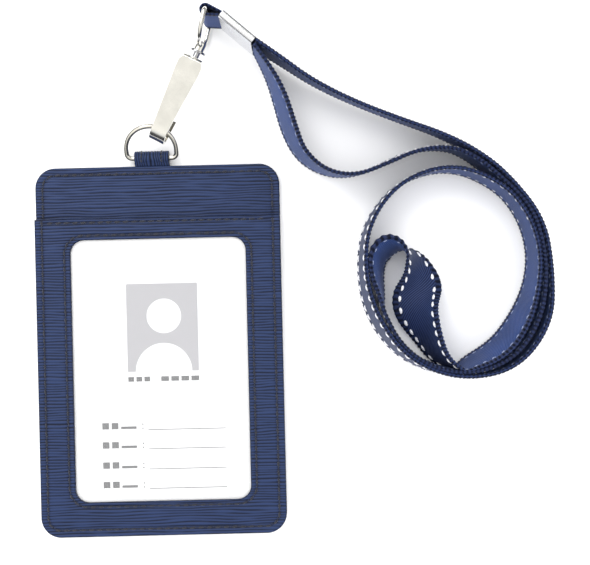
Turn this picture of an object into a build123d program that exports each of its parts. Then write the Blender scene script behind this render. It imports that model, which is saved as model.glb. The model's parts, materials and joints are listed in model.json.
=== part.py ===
from build123d import *
import math
import os

# Neck lanyard with a leather badge holder, laid flat on a table. Millimetres, +Z up.
# The origin is the centre of the holder's back face; +Y runs up the holder to the strap.

# ---- driving dimensions -------------------------------------------------------------
holder_width = 73.0
holder_height = 110.0
holder_corner = 6.0
back_thick = 1.0
board_thick = 1.2
board_inset = 3.0
facing_top = 3.0           # height of the facing panel's front face
pocket_roof = 4.1          # underside of the front panel's frame
front_top = 4.9            # height of the front panel's face
mouth_y = 39.6             # top edge of the front panel, where the card goes in
window_width = 52.0
window_low = -44.7
window_high = 33.2
window_corner = 4.0
card_width = 54.0
card_height = 85.6
card_thick = 0.76
card_low = -47.4
pocket_width = 56.4
pocket_low = -48.2
film_thick = 0.2
stitch_inset = 2.2
thread_width = 0.5
thread_height = 0.25

tab_centre_x = -1.4
tab_width = 10.3
tab_low = 42.0
loop_y = 57.5              # the leather loop round the ring's straight bar
loop_z = 2.15
loop_outer = 2.1
loop_bore = 0.82

ring_wire = 0.75
ring_half_width = 7.5
ring_corner = 1.6
ring_shoulder = 2.7
ring_tilt = 32.0           # degrees above the table

hook_heading = 27.3        # degrees from +Y towards +X, in plan
hook_rise = 5.0            # degrees above the table
ring_crossing = Vector(2.36, 65.3, 7.0)
crossing_s = 3.9           # the crossing's distance from the hook's nose
plate_thick = 0.8
hook_top = 3.0             # the plate's top face above the hook's axis
lip_low = -3.0
gate_thick = 0.35
gate_pivot_s = 21.0

eye_wire = 0.7
eye_half_height = 8.4
eye_length = 9.2
eye_heading = 14.55        # the eye hangs a little out of line with the hook
far_bar = Vector(16.8, 97.7, 9.25)

ribbon_width = 15.0
ribbon_thick = 1.1
ribbon_low = 0.3           # the free legs stand this far above the table
crimp_start = Vector(21.35, 96.3)
crimp_end = Vector(30.4, 88.4)
crimp_mid_z = 9.25
coil_centre = Vector(87.0, 21.4)

# Reach of the coil's outer and inner faces from its centre, every 30 degrees from +X.
coil_outer_reach = [27.3, 28.6, 31.3, 31.2, 31.2, 30.0, 28.0, 28.2, 29.3, 30.8, 32.6, 30.9]
coil_inner_reach = [22.9, 25.4, 27.8, 29.8, 29.1, 26.8, 24.2, 22.4, 25.0, 25.2, 23.2, 21.8]

# Centre lines of the free ribbon, in plan, as hand-laid points.
leg_b_route = [
    (30.87, 88.80), (37.6, 84.3), (46.5, 77.9), (58.0, 72.0), (72.0, 66.3), (84.6, 61.6), (94.5, 56.0),
    (102.3, 49.0),
]
leg_a_route = [
    (30.20, 87.78), (34.2, 81.3), (37.2, 73.6), (39.6, 64.6), (43.0, 56.6), (50.0, 51.2), (58.5, 50.0),
    (67.0, 53.2), (77.0, 57.4), (86.6, 57.8), (93.2, 54.6), (97.6, 51.0),
]
inner_loop_route = [
    (82.3, -3.2), (78.3, 3.6), (75.2, 12.0), (77.4, 20.2), (76.9, 26.4), (73.0, 30.4), (68.8, 32.2),
    (65.4, 29.2), (64.9, 22.6), (65.9, 16.4),
]

os.makedirs("parts", exist_ok=True)


# ---- helpers ------------------------------------------------------------------------
def save(piece, name):
    """Label a finished piece and write it as its own STEP file."""
    piece.part.label = name
    export_step(piece.part, f"parts/{name}.step")


def bend_radii(points):
    """The largest tangent arc at each inner corner of a route."""
    radii = []
    for before, here, after in zip(points, points[1:], points[2:]):
        run_in = Vector(*here) - Vector(*before)
        run_out = Vector(*after) - Vector(*here)
        half_turn = math.radians(run_in.get_angle(run_out) / 2)
        radii.append(0.45 * min(run_in.length, run_out.length) / math.tan(half_turn))
    return radii


def reach_points(reaches):
    """Points of a closed outline round the coil's centre, from its reach at even angles."""
    step = 2 * math.pi / len(reaches)
    return [
        (coil_centre.X + reach * math.cos(step * turn), coil_centre.Y + reach * math.sin(step * turn))
        for turn, reach in enumerate(reaches)
    ]


def ribbon_solid(points):
    """An upright ribbon that follows a route in plan."""
    with BuildPart() as ribbon:
        with BuildLine() as route:
            FilletPolyline(*points, radius=bend_radii(points))
        start = Vector(*points[0])
        heading = (Vector(*points[1]) - start).normalized()
        middle = Vector(start.X, start.Y, ribbon_low + ribbon_width / 2)
        across = Plane(origin=middle, x_dir=(-heading.Y, heading.X, 0), z_dir=(heading.X, heading.Y, 0))
        with BuildSketch(across):
            Rectangle(ribbon_thick, ribbon_width)
        rail = route.wire().moved(Location((0, 0, middle.Z)))
        sweep(path=rail)
    return ribbon, route.wire().length


# ---- badge holder: back half --------------------------------------------------------
board_width = holder_width - 2 * board_inset
board_height = holder_height - 2 * board_inset
board_top = back_thick + board_thick
tongue_mid_y = (tab_low + holder_height / 2) / 2
tongue_length = holder_height / 2 - tab_low

with BuildPart() as back_cover:
    with BuildSketch():
        RectangleRounded(holder_width, holder_height, holder_corner)
    extrude(amount=back_thick)
save(back_cover, "back_cover")

with BuildPart() as stiffener_board:
    with BuildSketch(Plane.XY.offset(back_thick)):
        RectangleRounded(board_width, board_height, holder_corner - board_inset)
        with Locations((tab_centre_x, tongue_mid_y)):
            Rectangle(tab_width, tongue_length, mode=Mode.SUBTRACT)
    extrude(amount=board_thick)
save(stiffener_board, "stiffener_board")

with BuildPart() as facing_panel:
    with BuildSketch(Plane.XY.offset(back_thick)):
        RectangleRounded(holder_width, holder_height, holder_corner)
    extrude(amount=facing_top - back_thick)
    with BuildSketch(Plane.XY.offset(back_thick)):
        RectangleRounded(board_width, board_height, holder_corner - board_inset)
        with Locations((tab_centre_x, tongue_mid_y)):
            Rectangle(tab_width, tongue_length)
    extrude(amount=board_thick, mode=Mode.SUBTRACT)
save(facing_panel, "facing_panel")

# ---- badge holder: front frame, window and card -------------------------------------
front_height = holder_height / 2 + mouth_y
front_mid_y = mouth_y - front_height / 2
window_height = window_high - window_low
window_mid_y = (window_high + window_low) / 2

with BuildPart() as front_panel:
    with BuildSketch(Plane.XY.offset(facing_top)):
        RectangleRounded(holder_width, holder_height, holder_corner)
        with Locations((0, mouth_y)):
            Rectangle(holder_width, holder_height, align=(Align.CENTER, Align.MIN), mode=Mode.SUBTRACT)
    extrude(amount=front_top - facing_top)
    with BuildSketch(Plane.XY.offset(facing_top)):
        with Locations((0, pocket_low)):
            Rectangle(pocket_width, holder_height, align=(Align.CENTER, Align.MIN))
    extrude(amount=pocket_roof - facing_top, mode=Mode.SUBTRACT)
    with BuildSketch(Plane.XY.offset(pocket_roof)):
        with Locations((0, window_mid_y)):
            RectangleRounded(window_width, window_height, window_corner)
    extrude(amount=front_top - pocket_roof, mode=Mode.SUBTRACT)
save(front_panel, "front_panel")

film_margin = 2.0
with BuildPart() as window_film:
    with BuildSketch(Plane.XY.offset(pocket_roof - film_thick)):
        with Locations((0, window_mid_y)):
            RectangleRounded(window_width + 2 * film_margin, window_height + 2 * film_margin, 2.0)
    extrude(amount=film_thick)
save(window_film, "window_film")

card_z = facing_top + 0.05
with BuildPart() as id_card:
    with BuildSketch(Plane.XY.offset(card_z)):
        with Locations((0, card_low + card_height / 2)):
            RectangleRounded(card_width, card_height, 3.0)
    extrude(amount=card_thick)
save(id_card, "id_card")

# ---- stitching ----------------------------------------------------------------------
seam_width = holder_width - 2 * stitch_inset
seam_height = holder_height - 2 * stitch_inset
seam_corner = holder_corner - stitch_inset
seam_gap = 0.5             # the seam dives through the pocket's mouth here

with BuildPart() as perimeter_thread:
    for level, side in ((front_top, Align.MAX), (facing_top, Align.MIN)):
        start_y = mouth_y - seam_gap if side == Align.MAX else mouth_y + seam_gap
        with BuildSketch(Plane.XY.offset(level)):
            RectangleRounded(seam_width + thread_width, seam_height + thread_width, seam_corner)
            RectangleRounded(seam_width - thread_width, seam_height - thread_width, seam_corner, mode=Mode.SUBTRACT)
            with Locations((0, start_y)):
                Rectangle(holder_width, holder_height * 1.5, align=(Align.CENTER, side), mode=Mode.INTERSECT)
        extrude(amount=thread_height)
save(perimeter_thread, "perimeter_thread")

window_seam_side = 1.8
window_seam_end = 1.35
with BuildPart() as window_thread:
    with BuildSketch(Plane.XY.offset(front_top)):
        with Locations((0, window_mid_y)):
            ring_w = window_width + 2 * window_seam_side
            ring_h = window_height + 2 * window_seam_end
            RectangleRounded(ring_w + thread_width, ring_h + thread_width, window_corner + 1.25)
            RectangleRounded(ring_w - thread_width, ring_h - thread_width, window_corner + 0.75, mode=Mode.SUBTRACT)
    extrude(amount=thread_height)
save(window_thread, "window_thread")

hem_inset = 1.2
with BuildPart() as mouth_thread:
    with BuildSketch(Plane.XY.offset(front_top)):
        with Locations((0, mouth_y - hem_inset)):
            Rectangle(seam_width - 4 * thread_width, thread_width)
    extrude(amount=thread_height)
save(mouth_thread, "mouth_thread")

# ---- hanging tab --------------------------------------------------------------------
tab_plane = Plane(origin=(tab_centre_x, 0, 0), x_dir=(0, 1, 0), z_dir=(1, 0, 0))

with BuildPart() as tab_strap:
    with BuildSketch(tab_plane):
        with Locations((loop_y, loop_z)):
            Circle(loop_outer)
        with Locations((holder_height / 2, back_thick)):
            Rectangle(0.2, board_thick, align=(Align.MIN, Align.MIN))
        make_hull()
        with Locations((tab_low, back_thick)):
            Rectangle(tongue_length, board_thick, align=(Align.MIN, Align.MIN))
        with Locations((loop_y, loop_z)):
            Circle(loop_bore, mode=Mode.SUBTRACT)
    extrude(amount=tab_width / 2, both=True)
save(tab_strap, "tab_strap")

tab_seam_side = 3.0
with BuildPart() as tab_thread:
    for side in (-1, 1):
        row_plane = Plane(origin=(tab_centre_x + side * tab_seam_side, 0, 0), x_dir=(0, 1, 0), z_dir=(1, 0, 0))
        with BuildSketch(row_plane):
            with Locations((loop_y, loop_z)):
                Circle(loop_outer + 0.2)
                Circle(loop_outer, mode=Mode.SUBTRACT)
                Rectangle(10, 10, align=(Align.CENTER, Align.MIN), mode=Mode.INTERSECT)
            with Locations((loop_y - 1.2, loop_z)):
                Rectangle(10, 10, align=(Align.MAX, Align.CENTER), mode=Mode.SUBTRACT)
        extrude(amount=thread_width / 2, both=True)
save(tab_thread, "tab_thread")

# ---- D ring -------------------------------------------------------------------------
tilt = math.radians(ring_tilt)
ring_up = Vector(0, math.cos(tilt), math.sin(tilt))
ring_plane = Plane(
    origin=(tab_centre_x, loop_y, loop_z), x_dir=(1, 0, 0), z_dir=(0, -math.sin(tilt), math.cos(tilt))
)
bar_end = ring_half_width - ring_corner

with BuildPart() as d_ring:
    with BuildLine(ring_plane) as ring_path:
        Line((-bar_end, 0), (bar_end, 0))
        CenterArc((bar_end, ring_corner), ring_corner, -90, 90)
        Line((ring_half_width, ring_corner), (ring_half_width, ring_shoulder))
        CenterArc((0, ring_shoulder), ring_half_width, 0, 180)
        Line((-ring_half_width, ring_shoulder), (-ring_half_width, ring_corner))
        CenterArc((-bar_end, ring_corner), ring_corner, 180, 90)
    with BuildSketch(Plane(origin=ring_plane.origin, x_dir=ring_plane.z_dir, z_dir=(1, 0, 0))):
        Circle(ring_wire)
    sweep(path=ring_path.wire())
save(d_ring, "d_ring")

# ---- swivel hook --------------------------------------------------------------------
heading = math.radians(hook_heading)
rise = math.radians(hook_rise)
hook_axis = Vector(
    math.sin(heading) * math.cos(rise), math.cos(heading) * math.cos(rise), math.sin(rise)
)
hook_side = Vector(math.cos(heading), -math.sin(heading), 0)
hook_up = hook_side.cross(hook_axis)
hook_nose = ring_crossing - hook_axis * crossing_s

profile_plane = Plane(origin=hook_nose, x_dir=hook_axis, z_dir=hook_side)
plan_plane = Plane(origin=hook_nose, x_dir=hook_axis, z_dir=hook_up)


def end_plane(distance):
    """A plane square to the hook's axis, at a distance from the nose; its y is the hook's up."""
    return Plane(origin=hook_nose + hook_axis * distance, x_dir=-hook_side, z_dir=hook_axis)


plate_low = hook_top - plate_thick
nose_radius = 2.7
nose_mid = -0.3
shoulder_s = 5.0
lip_end = 7.5
tab_face = 25.9
tab_back = tab_face + plate_thick
plate_half = 3.6
nose_half = 2.3
bent_tab_half = 2.8
swivel_bore = 1.05

with BuildPart() as hook_body:
    with BuildSketch(profile_plane):
        with BuildLine():
            Line((shoulder_s, hook_top), (tab_back - 1, hook_top))
            TangentArc((tab_back - 1, hook_top), (tab_back, hook_top - 1), tangent=(1, 0))
            Line((tab_back, hook_top - 1), (tab_back, 1.0))
            Line((tab_back, 1.0), (tab_face, 1.0))
            Line((tab_face, 1.0), (tab_face, plate_low - 0.2))
            TangentArc((tab_face, plate_low - 0.2), (tab_face - 0.2, plate_low), tangent=(0, 1))
            Line((tab_face - 0.2, plate_low), (shoulder_s, plate_low))
            EllipticalCenterArc(
                (shoulder_s, nose_mid), shoulder_s - plate_thick, plate_low - nose_mid, start_angle=90, arc_size=90
            )
            CenterArc((nose_radius, nose_mid), nose_radius - plate_thick, 180, 90)
            Line((nose_radius, lip_low + plate_thick), (lip_end, lip_low + plate_thick))
            Line((lip_end, lip_low + plate_thick), (lip_end, lip_low))
            Line((lip_end, lip_low), (nose_radius, lip_low))
            CenterArc((nose_radius, nose_mid), nose_radius, 180, 90)
            EllipticalCenterArc((shoulder_s, nose_mid), shoulder_s, hook_top - nose_mid, start_angle=90, arc_size=90)
        make_face()
    extrude(amount=plate_half, both=True)
    with BuildSketch(plan_plane):
        with BuildLine():
            Polyline(
                (-1, nose_half), (shoulder_s, nose_half + 0.1), (22.0, plate_half), (24.4, plate_half),
                (tab_face, bent_tab_half), (tab_back + 1, bent_tab_half), (tab_back + 1, -bent_tab_half),
                (tab_face, -bent_tab_half), (24.4, -plate_half), (22.0, -plate_half),
                (shoulder_s, -nose_half - 0.1), (-1, -nose_half), close=True,
            )
        make_face()
    extrude(amount=10, both=True, mode=Mode.INTERSECT)
    with BuildSketch(end_plane(tab_face)):
        Circle(bent_tab_half)
        with Locations((0, 0.5)):
            Rectangle(2 * bent_tab_half, 1.1)
    extrude(amount=plate_thick)
    with BuildSketch(end_plane(tab_face)):
        Circle(swivel_bore)
    extrude(amount=plate_thick, mode=Mode.SUBTRACT)
save(hook_body, "hook_body")

pad_top = plate_low - 0.2
pad_low = pad_top - gate_thick
gate_width = 3.4
with BuildPart() as gate_leaf:
    with BuildSketch(profile_plane):
        with BuildLine():
            Polyline(
                (22.2, pad_low), (22.2, pad_top), (19.75, pad_top), (7.1, -1.76),
                (7.2, -2.12), (19.85, pad_low), close=True,
            )
        make_face()
    extrude(amount=gate_width / 2, both=True)
    with BuildSketch(plan_plane):
        with Locations((gate_pivot_s, 0)):
            Circle(0.8)
    extrude(amount=pad_top + 0.1, mode=Mode.SUBTRACT)
save(gate_leaf, "gate_leaf")

rivet_gap = 0.2
with BuildPart() as gate_rivet:
    with BuildSketch(plan_plane.offset(pad_low - rivet_gap)):
        with Locations((gate_pivot_s, 0)):
            Circle(0.6)
    extrude(amount=plate_low - pad_low + rivet_gap)
    with BuildSketch(plan_plane.offset(pad_low - rivet_gap)):
        with Locations((gate_pivot_s, 0)):
            Circle(1.2)
    extrude(amount=-0.5)
save(gate_rivet, "gate_rivet")

# ---- swivel eye ---------------------------------------------------------------------
# The rivet's stack along the hook's axis: start, end and radius of each turned step.
rivet_steps = [(24.8, 25.75, 1.8), (25.75, 31.3, 1.0), (28.4, 29.0, 2.4), (31.3, 31.9, 1.5)]
with BuildPart() as swivel_rivet:
    for low, high, radius in rivet_steps:
        with BuildSketch(end_plane(low)):
            Circle(radius)
        extrude(amount=high - low)
save(swivel_rivet, "swivel_rivet")

eye_angle = math.radians(eye_heading)
travel = Vector(math.sin(eye_angle), math.cos(eye_angle), 0)
eye_side = Vector(math.cos(eye_angle), -math.sin(eye_angle), 0)
eye_plane = Plane(origin=far_bar - travel * eye_length, x_dir=travel, z_dir=eye_side)
boss_start = 29.0
boss_end = 31.3
with BuildPart() as swivel_eye:
    with BuildLine(eye_plane) as eye_path:
        FilletPolyline(
            (0, 0.2), (0, eye_half_height), (eye_length, eye_half_height), (eye_length, -eye_half_height),
            (0, -eye_half_height), (0, 0), radius=[5.0, 1.2, 1.2, 5.0],
        )
        Line((0, 0), (0, 0.2))
    with BuildSketch(Plane(origin=eye_plane.origin, x_dir=travel, z_dir=(0, 0, 1))):
        Circle(eye_wire)
    sweep(path=eye_path.wire())
    with BuildSketch(end_plane(boss_start)):
        Circle(1.7)
    extrude(amount=boss_end - boss_start)
    with BuildSketch(end_plane(boss_start - 1)):
        Circle(1.0)
    extrude(amount=boss_end - boss_start + 2, mode=Mode.SUBTRACT)
save(swivel_eye, "swivel_eye")

# ---- strap end: sewn loop and crimped sleeve ------------------------------------------
crimp_run = crimp_end - crimp_start
crimp_way = crimp_run.normalized()
crimp_side = Vector(-crimp_way.Y, crimp_way.X, 0)
crimp_plane = Plane(
    origin=(crimp_start.X, crimp_start.Y, crimp_mid_z), x_dir=crimp_side, z_dir=crimp_way
)
with BuildPart() as strap_crimp:
    with BuildSketch(crimp_plane):
        RectangleRounded(2.6, 16.1, 0.9)
        RectangleRounded(1.7, 15.1, 0.05, mode=Mode.SUBTRACT)
    extrude(amount=crimp_run.length)
save(strap_crimp, "strap_crimp")

layer_half = 0.8
loop_bore_r = 0.95
with BuildPart() as strap_loop:
    with BuildSketch(Plane.XY.offset(crimp_mid_z - ribbon_width / 2)):
        with Locations((far_bar.X, far_bar.Y)):
            Circle(1.8)
        with BuildLine():
            near_left = crimp_start + crimp_side * layer_half
            near_right = crimp_start - crimp_side * layer_half
            far_left = near_left + crimp_way * 0.2
            far_right = near_right + crimp_way * 0.2
            Polyline(near_left, far_left, far_right, near_right, close=True)
        make_hull()
        with BuildLine():
            end_left = crimp_end + crimp_side * layer_half
            end_right = crimp_end - crimp_side * layer_half
            Polyline(near_left, end_left, end_right, near_right, close=True)
        make_face()
        with Locations((far_bar.X, far_bar.Y)):
            Circle(loop_bore_r, mode=Mode.SUBTRACT)
    extrude(amount=ribbon_width)
save(strap_loop, "strap_loop")

# ---- free ribbon ----------------------------------------------------------------------
for name, route_points in (
    ("strap_leg_a", leg_a_route), ("strap_leg_b", leg_b_route), ("strap_inner_loop", inner_loop_route),
):
    strip, strip_length = ribbon_solid(route_points)
    save(strip, name)
    print(name, "length", round(strip_length, 1), "radii", [round(r, 1) for r in bend_radii(route_points)])

with BuildPart() as strap_coil:
    with BuildSketch():
        with BuildLine():
            Spline(*reach_points(coil_outer_reach), periodic=True)
        make_face()
        with BuildLine():
            Spline(*reach_points(coil_inner_reach), periodic=True)
        make_face(mode=Mode.SUBTRACT)
    extrude(amount=ribbon_width)
save(strap_coil, "strap_coil")
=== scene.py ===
# %% [markdown]
# # A neck lanyard with a leather badge holder
# The lanyard lies flat on a pale table: a leather badge holder with a card behind its window, a D ring,
# a swivel hook, and a satin ribbon strap that is wound twice round and stands on its edge.
# The metal and leather sizes come from a CAD frame, so nothing is fitted by eye: each Blender piece
# takes its place from that frame and rides on one of its bodies. Units are metres, +Z is up, and the
# origin is the centre of the holder's back face.

# %% Load the frame
import json
import math
import bpy
import bmesh
from mathutils import Matrix, Vector, noise

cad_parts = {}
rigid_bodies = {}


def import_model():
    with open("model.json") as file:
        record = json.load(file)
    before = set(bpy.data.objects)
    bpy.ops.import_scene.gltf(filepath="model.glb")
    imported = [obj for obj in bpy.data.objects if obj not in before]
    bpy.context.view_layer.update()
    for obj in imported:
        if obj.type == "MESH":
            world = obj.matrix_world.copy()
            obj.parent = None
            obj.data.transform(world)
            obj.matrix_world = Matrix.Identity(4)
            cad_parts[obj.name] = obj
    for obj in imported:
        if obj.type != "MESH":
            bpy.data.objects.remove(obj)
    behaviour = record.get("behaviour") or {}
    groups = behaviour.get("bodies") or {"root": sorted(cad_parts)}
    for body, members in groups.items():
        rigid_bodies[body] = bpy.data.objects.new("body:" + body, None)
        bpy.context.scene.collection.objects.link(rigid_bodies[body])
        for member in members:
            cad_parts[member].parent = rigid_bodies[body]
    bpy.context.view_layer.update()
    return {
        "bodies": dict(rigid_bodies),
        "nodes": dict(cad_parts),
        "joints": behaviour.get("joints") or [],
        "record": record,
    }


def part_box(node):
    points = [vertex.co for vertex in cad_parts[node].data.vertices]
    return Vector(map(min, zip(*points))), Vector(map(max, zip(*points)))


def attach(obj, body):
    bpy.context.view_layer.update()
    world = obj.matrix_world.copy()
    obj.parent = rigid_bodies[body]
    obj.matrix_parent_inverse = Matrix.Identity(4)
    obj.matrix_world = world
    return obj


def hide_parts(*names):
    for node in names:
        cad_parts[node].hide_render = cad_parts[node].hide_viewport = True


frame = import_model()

mm = 0.001

# %% [markdown]
# ## Camera, floor and light
# The camera looks straight down on the table from 285 mm, a little turned, as on a product shot.
# Looking from so near, upright faces away from the middle show their sides, which is what makes the
# ribbon's coil read as a wall. The floor is a plain pale sheet and the light is a large soft panel
# above with a white sky round it, so that shadows stay short and soft.

# %% Camera
scene = bpy.context.scene
camera_place = Vector((40.5, 19.2, 285.0)) * mm
camera_turn = math.radians(-1.36)
camera_data = bpy.data.cameras.new("camera")
camera_data.lens = 57.6
camera_data.sensor_width = 36.0
camera_data.clip_start = 0.005
camera = bpy.data.objects.new("camera", camera_data)
camera.location = camera_place
camera.rotation_euler = (0.0, 0.0, camera_turn)
scene.collection.objects.link(camera)
scene.camera = camera
print("camera at", tuple(round(c, 4) for c in camera_place))


# %% Small helpers for materials
def new_material(name):
    """A fresh node material and its shader, with the default nodes kept."""
    material = bpy.data.materials.new(name)
    material.use_nodes = True
    tree = material.node_tree
    shader = next(n for n in tree.nodes if n.type == "BSDF_PRINCIPLED")
    return material, tree, shader


def add_node(tree, kind, **settings):
    """Adds a node; settings that name an input socket are set there, others on the node itself."""
    node = tree.nodes.new(kind)
    for key, value in settings.items():
        if key in node.inputs:
            node.inputs[key].default_value = value
        else:
            setattr(node, key, value)
    return node


def colour_ramp(tree, stops):
    """A colour ramp from a list of (position, colour)."""
    ramp = tree.nodes.new("ShaderNodeValToRGB")
    elements = ramp.color_ramp.elements
    while len(elements) < len(stops):
        elements.new(0.5)
    for element, (position, colour) in zip(elements, stops):
        element.position = position
        element.color = (*colour, 1.0)
    return ramp


def stretched(tree, value, low, high, new_low, new_high):
    """A value mapped from one range to another."""
    spread = add_node(tree, "ShaderNodeMapRange")
    ends = {"From Min": low, "From Max": high, "To Min": new_low, "To Max": new_high}
    for label, number in ends.items():
        spread.inputs[label].default_value = number
    tree.links.new(value, spread.inputs["Value"])
    return spread.outputs["Result"]


def colour_by(tree, shader, value, stops):
    """Colours the surface by a value, through a ramp."""
    tone = colour_ramp(tree, stops)
    tree.links.new(value, tone.inputs["Fac"])
    tree.links.new(tone.outputs["Color"], shader.inputs["Base Color"])


def raised_by(tree, shader, height, strength, distance):
    """Raises the surface a little by a height, as bump."""
    relief = add_node(tree, "ShaderNodeBump", Strength=strength, Distance=distance)
    tree.links.new(height, relief.inputs["Height"])
    tree.links.new(relief.outputs["Normal"], shader.inputs["Normal"])


def on_object(tree, *textures):
    """Lets textures read the piece's own coordinates, so the pattern rides with it."""
    place = add_node(tree, "ShaderNodeTexCoord")
    for texture in textures:
        tree.links.new(place.outputs["Object"], texture.inputs["Vector"])


# %% Small helpers for meshes
def deselect():
    """Leaves nothing selected, so that an operator acts only on what comes next."""
    bpy.ops.object.select_all(action="DESELECT")


def finished_piece(name, skin, *finishes):
    """Turns a bmesh into an object in the scene, with its materials."""
    mesh = bpy.data.meshes.new(name)
    skin.to_mesh(mesh)
    skin.free()
    for finish in finishes:
        mesh.materials.append(finish)
    piece = bpy.data.objects.new(name, mesh)
    scene.collection.objects.link(piece)
    return piece


# %% Floor and light
def paint_floor():
    """A matt, nearly white table with a very faint unevenness."""
    material, tree, shader = new_material("table_white")
    cloud = add_node(tree, "ShaderNodeTexNoise", Scale=14.0, Detail=3.0)
    on_object(tree, cloud)
    stops = [(0.3, (0.93, 0.93, 0.935)), (0.7, (0.95, 0.95, 0.952))]
    colour_by(tree, shader, cloud.outputs["Fac"], stops)
    shader.inputs["Roughness"].default_value = 0.85
    return material


deselect()
bpy.ops.mesh.primitive_plane_add(size=3.0, location=(camera_place.x, camera_place.y, -0.00005))
floor = bpy.context.object
floor.name = "table"
floor.data.materials.append(paint_floor())


# %% Sky and lamps
def paint_studio():
    """A white tent, darker low down, so that mirror metal has something dark to show."""
    world = bpy.data.worlds.new("studio")
    world.use_nodes = True
    tree = world.node_tree
    link = tree.links.new
    background = tree.nodes["Background"]
    direction = add_node(tree, "ShaderNodeTexCoord")
    parts = add_node(tree, "ShaderNodeSeparateXYZ")
    link(direction.outputs["Generated"], parts.inputs["Vector"])
    tent = colour_ramp(tree, [
        (0.0, (0.16, 0.16, 0.165)), (0.10, (0.025, 0.025, 0.028)), (0.42, (0.05, 0.05, 0.052)),
        (0.60, (0.48, 0.48, 0.47)), (0.78, (0.62, 0.61, 0.58)), (1.0, (0.64, 0.63, 0.60)),
    ])
    link(parts.outputs["Z"], tent.inputs["Fac"])
    rays = add_node(tree, "ShaderNodeLightPath")
    seen = add_node(tree, "ShaderNodeMix", data_type="RGBA")
    seen.inputs["A"].default_value = (1.0, 1.0, 1.0, 1.0)
    link(rays.outputs["Is Glossy Ray"], seen.inputs["Factor"])
    sideways = stretched(tree, parts.outputs["X"], -0.45, 0.45, 1.15, 0.55)
    shaded = add_node(tree, "ShaderNodeVectorMath", operation="SCALE")
    link(tent.outputs["Color"], shaded.inputs["Vector"])
    link(sideways, shaded.inputs["Scale"])
    link(shaded.outputs["Vector"], seen.inputs["B"])
    link(seen.outputs["Result"], background.inputs["Color"])
    background.inputs["Strength"].default_value = 1.75
    return world


scene.world = paint_studio()
scene.view_settings.view_transform = "Standard"


def soft_panel(name, place, aim, size, power):
    """An area light at a place, turned towards a point."""
    lamp = bpy.data.lights.new(name, "AREA")
    lamp.shape = "SQUARE"
    lamp.size = size
    lamp.energy = power
    holder = bpy.data.objects.new(name, lamp)
    holder.location = place
    holder.rotation_euler = (Vector(aim) - Vector(place)).to_track_quat("-Z", "Y").to_euler()
    scene.collection.objects.link(holder)
    return holder


soft_panel("key_panel", (-0.25, 0.45, 0.75), (0.04, 0.02, 0.0), 0.45, 2.3)
soft_panel("fill_panel", (0.6, -0.1, 0.6), (0.05, 0.02, 0.0), 0.5, 0.5)

# %% [markdown]
# ## The ribbon's route
# The strap is one length of satin ribbon that stands on its edge. It leaves the crimped sleeve as
# leg B, winds one and a half times clockwise, rises in a small loop inside the coil where it turns
# over by half a turn, goes back round the other way, and returns to the sleeve as leg A.
# It could be modelled as a cylinder wall cut in strips, but then the loops would be perfect circles.
# Instead a smooth NURBS spline runs through a listed route, and a second spline with the same
# number of points carries how far the ribbon is turned about its own line, so both are read point
# for point.

# %% Route points: x, y and height in metres, turn in degrees
ribbon_width = 15.0 * mm
upright = 7.8 * mm          # height of the ribbon's middle where it stands on the table
at_sleeve = 9.25 * mm       # and where it leaves the crimped sleeve

leg_b = [
    (0.03087, 0.08880, at_sleeve, 0), (0.0376, 0.0843, at_sleeve, 2), (0.0465, 0.0779, 0.0088, 5),
    (0.0580, 0.0720, 0.0082, 7), (0.0720, 0.0663, upright, 7), (0.0846, 0.0616, upright, 6),
    (0.0945, 0.0560, upright, 4),
]
inner_loop = [
    (0.0886, -0.0078, upright, 2), (0.0824, -0.0044, upright, 14), (0.0786, 0.0036, upright, 29),
    (0.0757, 0.0120, 0.0077, 60), (0.0769, 0.0202, 0.0077, 130), (0.0751, 0.0264, 0.0078, 158),
    (0.0720, 0.0289, upright, 186), (0.0682, 0.0291, upright, 209), (0.0652, 0.0266, upright, 206),
    (0.0646, 0.0214, upright, 199), (0.0658, 0.0150, upright, 190),
]
leg_a = [
    (0.0976, 0.0510, upright, 179), (0.0932, 0.0546, upright, 177), (0.0866, 0.0578, upright, 175),
    (0.0770, 0.0574, upright, 174), (0.0670, 0.0532, upright, 174), (0.0585, 0.0500, upright, 175),
    (0.0500, 0.0512, upright, 180), (0.0430, 0.0566, upright, 189), (0.0396, 0.0646, upright, 196),
    (0.0372, 0.0736, 0.0082, 194), (0.0342, 0.0813, 0.0088, 186), (0.03020, 0.08778, at_sleeve, 180),
]

# %% Coil turns, worked out from reach and lean
coil_centre = Vector((87.0, 21.4)) * mm


def coil_points(first_angle, step, reaches, leans):
    """Route points round the coil: reach in mm from its centre and lean in degrees at even angles."""
    points = []
    for turn, (reach, lean) in enumerate(zip(reaches, leans)):
        angle = math.radians(first_angle + step * turn)
        x = coil_centre.x + reach * mm * math.cos(angle)
        y = coil_centre.y + reach * mm * math.sin(angle)
        points.append((x, y, upright, lean))
    return points


# First the outer turn, clockwise from the upper right, then on over the top into the inner turn.
outer_turn = coil_points(
    60, -30,
    [31.6, 29.2, 27.5, 31.2, 33.2, 31.4, 29.7, 27.5, 27.1, 29.3, 31.0, 31.2],
    [2, 0, 0, 0, 0, 1, 6, 9, 5, 3, 1.5, 1],
)
inner_turn = coil_points(
    60, -24,
    [28.7, 26.4, 24.7, 23.6, 24.1, 26.4, 28.0],
    [0, -1, -2, -5, -13, -17, -9],
)
# After the small loop the ribbon runs back between the two, counter-clockwise.
return_turn = coil_points(
    208, 24,
    [23.6, 26.6, 29.0, 30.1, 30.0, 27.8, 26.0, 26.2, 28.6, 30.8],
    [184, 181, 180, 180, 180, 180, 180, 180, 180, 180],
)
route = leg_b + outer_turn + inner_turn + inner_loop + return_turn[:-1] + leg_a
print("route has", len(route), "points")


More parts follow.
